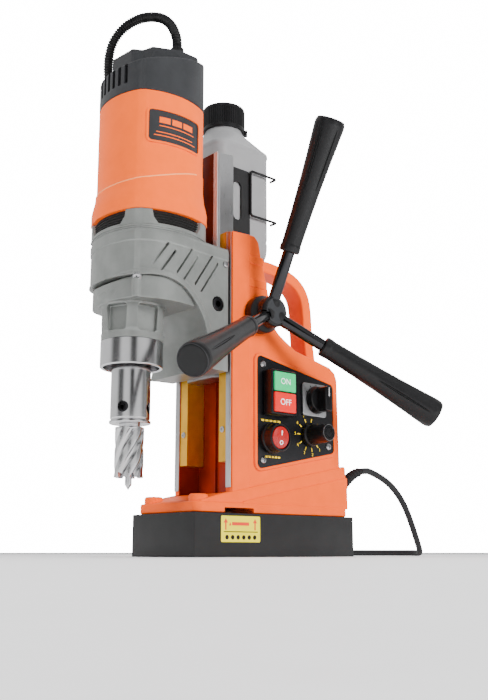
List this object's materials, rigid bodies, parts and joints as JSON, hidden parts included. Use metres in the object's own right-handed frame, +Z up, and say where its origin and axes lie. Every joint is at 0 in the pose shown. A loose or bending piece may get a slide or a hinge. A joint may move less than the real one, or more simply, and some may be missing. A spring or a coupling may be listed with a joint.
{
  "type": "magnetic drill press",
  "caption": "Magnetic drill press: electromagnet foot and cast stand with a feed wheel that moves a motor and annular cutter up and down a slide, with a coolant bottle and mains cord.",
  "frame": {"origin": "centre of the magnet's underside", "axes": "+Z up along the column, spindle and front towards -Y, cord outlet towards +Y, control panel and feed wheel on the +X side"},
  "size_m": [0.3782, 0.4877, 0.5648],
  "materials": {
    "orange_paint": "gloss",
    "motor_paint": "satin",
    "magnet_paint": "satin",
    "grey_casting": "metallic satin",
    "machined_steel": "machined",
    "chrome": "polished",
    "brass": "machined",
    "copper": "enamelled winding",
    "black_plastic": "satin",
    "cap_plastic": "fine texture",
    "rubber": "matt",
    "bottle_plastic": "translucent",
    "green_plastic": "gloss",
    "red_plastic": "gloss",
    "board": "solder mask"
  },
  "bodies": {
    "stand": {"magnet_body": "magnet_paint", "magnet_coil": "copper", "magnet_potting": "black_plastic", "stand_casting": "orange_paint", "gib_left": "brass", "gib_right": "brass", "pinion_bush": "brass", "control_panel": "black_plastic", "control_board": "board", "switch_housing": "black_plastic", "selector_plate": "machined_steel", "rocker_bezel": "black_plastic", "bottle_bracket": "magnet_paint", "bottle_clip": "magnet_paint", "conduit_elbow": "black_plastic", "motor_conduit": "black_plastic", "strain_relief": "rubber", "power_cord": "rubber", "cord_coil": "rubber", "mains_plug": "rubber"},
    "carriage": {"slide_plate": "machined_steel", "feed_rack": "machined_steel", "gear_case": "grey_casting", "case_bolt": "black_plastic", "spindle_housing": "grey_casting", "spindle_bearing": "machined_steel", "coolant_ring": "chrome", "bearing_plate": "grey_casting", "motor_housing": "motor_paint", "motor_stator": "copper", "motor_cap": "cap_plastic", "conduit_gland": "black_plastic"},
    "armature": {"armature": "copper", "cooling_fan": "black_plastic", "armature_pinion": "machined_steel"},
    "layshaft": {"layshaft_gear": "machined_steel", "layshaft": "machined_steel"},
    "spindle": {"arbor": "machined_steel", "arbor_screw_front": "machined_steel", "arbor_screw_side": "machined_steel", "annular_cutter": "machined_steel", "spindle_gear": "machined_steel", "pilot_spring": "machined_steel"},
    "pilot": {"pilot_pin": "machined_steel"},
    "feed_wheel": {"feed_hub": "black_plastic", "feed_shaft": "machined_steel", "feed_rod_1": "machined_steel", "feed_rod_2": "machined_steel", "feed_rod_3": "machined_steel", "feed_grip_1": "black_plastic", "feed_grip_2": "black_plastic", "feed_grip_3": "black_plastic"},
    "on_button": {"on_button": "green_plastic"},
    "off_button": {"off_button": "red_plastic"},
    "rocker": {"rocker_button": "red_plastic"},
    "selector": {"selector_knob": "black_plastic"},
    "speed_dial": {"speed_knob": "black_plastic"},
    "bottle": {"coolant_bottle": "bottle_plastic"},
    "bottle_cap": {"bottle_cap": "black_plastic"}
  },
  "joints": [
    {"name": "carriage_slide", "type": "slide", "parent": "stand", "child": "carriage", "axis": [0, 0, 1], "range_m": [-0.1, 0.06], "deforming": ["motor_conduit"]},
    {"name": "feed_turn", "type": "hinge", "parent": "stand", "child": "feed_wheel", "pos_m": [0, -0.023, 0.236], "axis": [1, 0, 0], "range_deg": [-340, 560]},
    {"name": "armature_spin", "type": "hinge", "parent": "carriage", "child": "armature", "pos_m": [0, -0.128, 0.37], "axis": [0, 0, 1], "continuous": true},
    {"name": "layshaft_spin", "type": "hinge", "parent": "carriage", "child": "layshaft", "pos_m": [-0.01896, -0.10878, 0.275], "axis": [0, 0, 1], "continuous": true},
    {"name": "spindle_spin", "type": "hinge", "parent": "carriage", "child": "spindle", "pos_m": [0, -0.144, 0.2], "axis": [0, 0, 1], "continuous": true},
    {"name": "pilot_slide", "type": "slide", "parent": "spindle", "child": "pilot", "axis": [0, 0, 1], "range_m": [0, 0.012], "stiffness_N_per_m": 400, "springref_m": -0.003, "deforming": ["pilot_spring"]},
    {"name": "on_press", "type": "slide", "parent": "stand", "child": "on_button", "axis": [-1, 0, 0], "range_m": [0, 0.003], "stiffness_N_per_m": 800, "springref_m": -0.001},
    {"name": "off_press", "type": "slide", "parent": "stand", "child": "off_button", "axis": [-1, 0, 0], "range_m": [0, 0.003], "stiffness_N_per_m": 800, "springref_m": -0.001},
    {"name": "rocker_tilt", "type": "hinge", "parent": "stand", "child": "rocker", "pos_m": [0.057, -0.0085, 0.1135], "axis": [0, -1, 0], "range_deg": [0, 12]},
    {"name": "selector_turn", "type": "hinge", "parent": "stand", "child": "selector", "pos_m": [0.0493, 0.053, 0.158], "axis": [1, 0, 0], "range_deg": [-60, 60]},
    {"name": "speed_turn", "type": "hinge", "parent": "stand", "child": "speed_dial", "pos_m": [0.0463, 0.0455, 0.1215], "axis": [-1, 0, 0], "range_deg": [0, 270]},
    {"name": "bottle_lift", "type": "slide", "parent": "stand", "child": "bottle", "axis": [0, 0, 1], "range_m": [0, 0.15]},
    {"name": "bottle_cap_lift", "type": "slide", "parent": "bottle", "child": "bottle_cap", "axis": [0, 0, 1], "range_m": [0, 0.05]}
  ],
  "couplings": [
    {"joint": "feed_turn", "follows": "carriage_slide", "rad_per_m": -95.238},
    {"joint": "layshaft_spin", "follows": "armature_spin", "ratio": -0.33333},
    {"joint": "spindle_spin", "follows": "armature_spin", "ratio": 0.14286}
  ]
}
